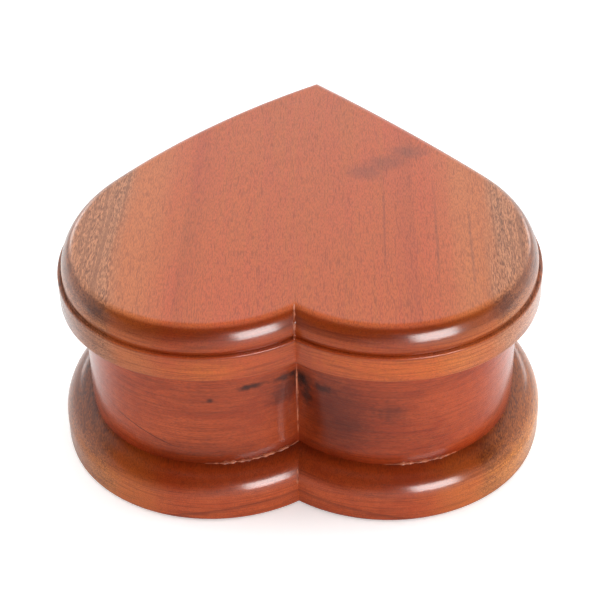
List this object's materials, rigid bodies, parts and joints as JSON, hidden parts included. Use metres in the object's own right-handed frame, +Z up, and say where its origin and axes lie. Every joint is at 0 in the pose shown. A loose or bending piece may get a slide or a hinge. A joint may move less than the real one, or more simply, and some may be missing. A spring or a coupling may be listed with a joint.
{
  "type": "wind up music box",
  "caption": "Heart-shaped wooden music box with a moulded hinged lid over a keepsake compartment and a key-wound cylinder movement.",
  "frame": {"origin": "middle of the base's outline, on its underside", "axes": "+Z up, the cleft of the heart faces -Y, its point and the hinge are at +Y"},
  "size_m": [0.1644, 0.1698, 0.0741],
  "materials": {
    "lid_wood": "clear gloss lacquer on reddish hardwood with tan sapwood",
    "wall_wood": "clear gloss lacquer on reddish hardwood, end-grain streaks",
    "base_wood": "clear gloss lacquer on reddish hardwood with tan sapwood",
    "plain_wood": "bare sanded wood",
    "felt": "dark red felt",
    "clear_sheet": "clear acrylic sheet, polished",
    "hinge_brass": "polished brass",
    "cast_metal": "as-cast zinc alloy, fine grain",
    "screw_steel": "turned steel",
    "strip_steel": "pressed steel strip",
    "comb_steel": "ground and polished steel",
    "key_steel": "nickel-plated steel",
    "arbor_steel": "turned steel",
    "gear_brass": "machined brass",
    "spring_steel": "blued spring steel",
    "fan_plastic": "moulded nylon"
  },
  "bodies": {
    "case": {"box_wall": "wall_wood", "base_plate": "base_wood", "partition": "plain_wood", "corner_block": "plain_wood", "felt_lining": "felt", "movement_cover": "clear_sheet", "hinge_wall_leaf": "hinge_brass", "hinge_pin": "hinge_brass", "hinge_wall_screws": "hinge_brass", "bedplate": "cast_metal", "movement_screws": "screw_steel", "bracket_screws": "screw_steel", "comb_screws": "screw_steel", "governor_frame_screws": "screw_steel", "cylinder_bracket_left": "strip_steel", "cylinder_bracket_right": "strip_steel", "governor_arbor_post": "strip_steel", "governor_frame": "strip_steel", "comb": "comb_steel", "rod_guide": "gear_brass", "stop_spring": "spring_steel"},
    "lid": {"lid": "lid_wood", "hinge_lid_leaf": "hinge_brass", "hinge_lid_screws": "hinge_brass"},
    "winder": {"winding_key": "key_steel", "winding_arbor": "arbor_steel"},
    "barrel": {"spring_barrel": "gear_brass", "barrel_cover": "gear_brass", "mainspring": "spring_steel"},
    "cylinder": {"music_cylinder": "gear_brass", "cylinder_arbor": "arbor_steel", "cylinder_pinion": "gear_brass", "cylinder_wheel": "gear_brass"},
    "governor_wheel": {"governor_arbor": "arbor_steel", "governor_pinion": "gear_brass", "worm_wheel": "gear_brass"},
    "governor_fan": {"worm_shaft": "arbor_steel", "fan": "fan_plastic"},
    "stop_rod": {"stop_rod": "arbor_steel"}
  },
  "joints": [
    {"name": "lid_hinge", "type": "hinge", "parent": "case", "child": "lid", "pos_m": [0.003, 0.06431, 0.0565], "axis": [-1, 0, 0], "range_deg": [0, 92]},
    {"name": "stop_rod_slide", "type": "slide", "parent": "case", "child": "stop_rod", "axis": [0, 0, 1], "range_m": [0, 0.004], "deforming": ["stop_spring"]},
    {"name": "key_turn", "type": "hinge", "parent": "case", "child": "winder", "pos_m": [-0.01275, 0.01361, 0.0125], "axis": [0, 0, 1], "continuous": true},
    {"name": "cylinder_spin", "type": "hinge", "parent": "case", "child": "cylinder", "pos_m": [-0.01275, 0.01361, 0.03275], "axis": [1, 0, 0], "continuous": true},
    {"name": "barrel_spin", "type": "hinge", "parent": "case", "child": "barrel", "pos_m": [-0.01275, 0.01361, 0.0193], "axis": [0, 0, 1], "continuous": true},
    {"name": "governor_wheel_spin", "type": "hinge", "parent": "case", "child": "governor_wheel", "pos_m": [-0.01275, 0.02361, 0.03275], "axis": [1, 0, 0], "continuous": true},
    {"name": "fan_spin", "type": "hinge", "parent": "case", "child": "governor_fan", "pos_m": [0.02115, 0.02841, 0.019], "axis": [0, 0, 1], "continuous": true}
  ],
  "couplings": [
    {"joint": "stop_rod_slide", "follows": "lid_hinge", "m_per_rad": 0.00249},
    {"joint": "barrel_spin", "follows": "cylinder_spin", "ratio": 0.4},
    {"joint": "governor_wheel_spin", "follows": "cylinder_spin", "ratio": -4},
    {"joint": "fan_spin", "follows": "cylinder_spin", "ratio": 36}
  ]
}
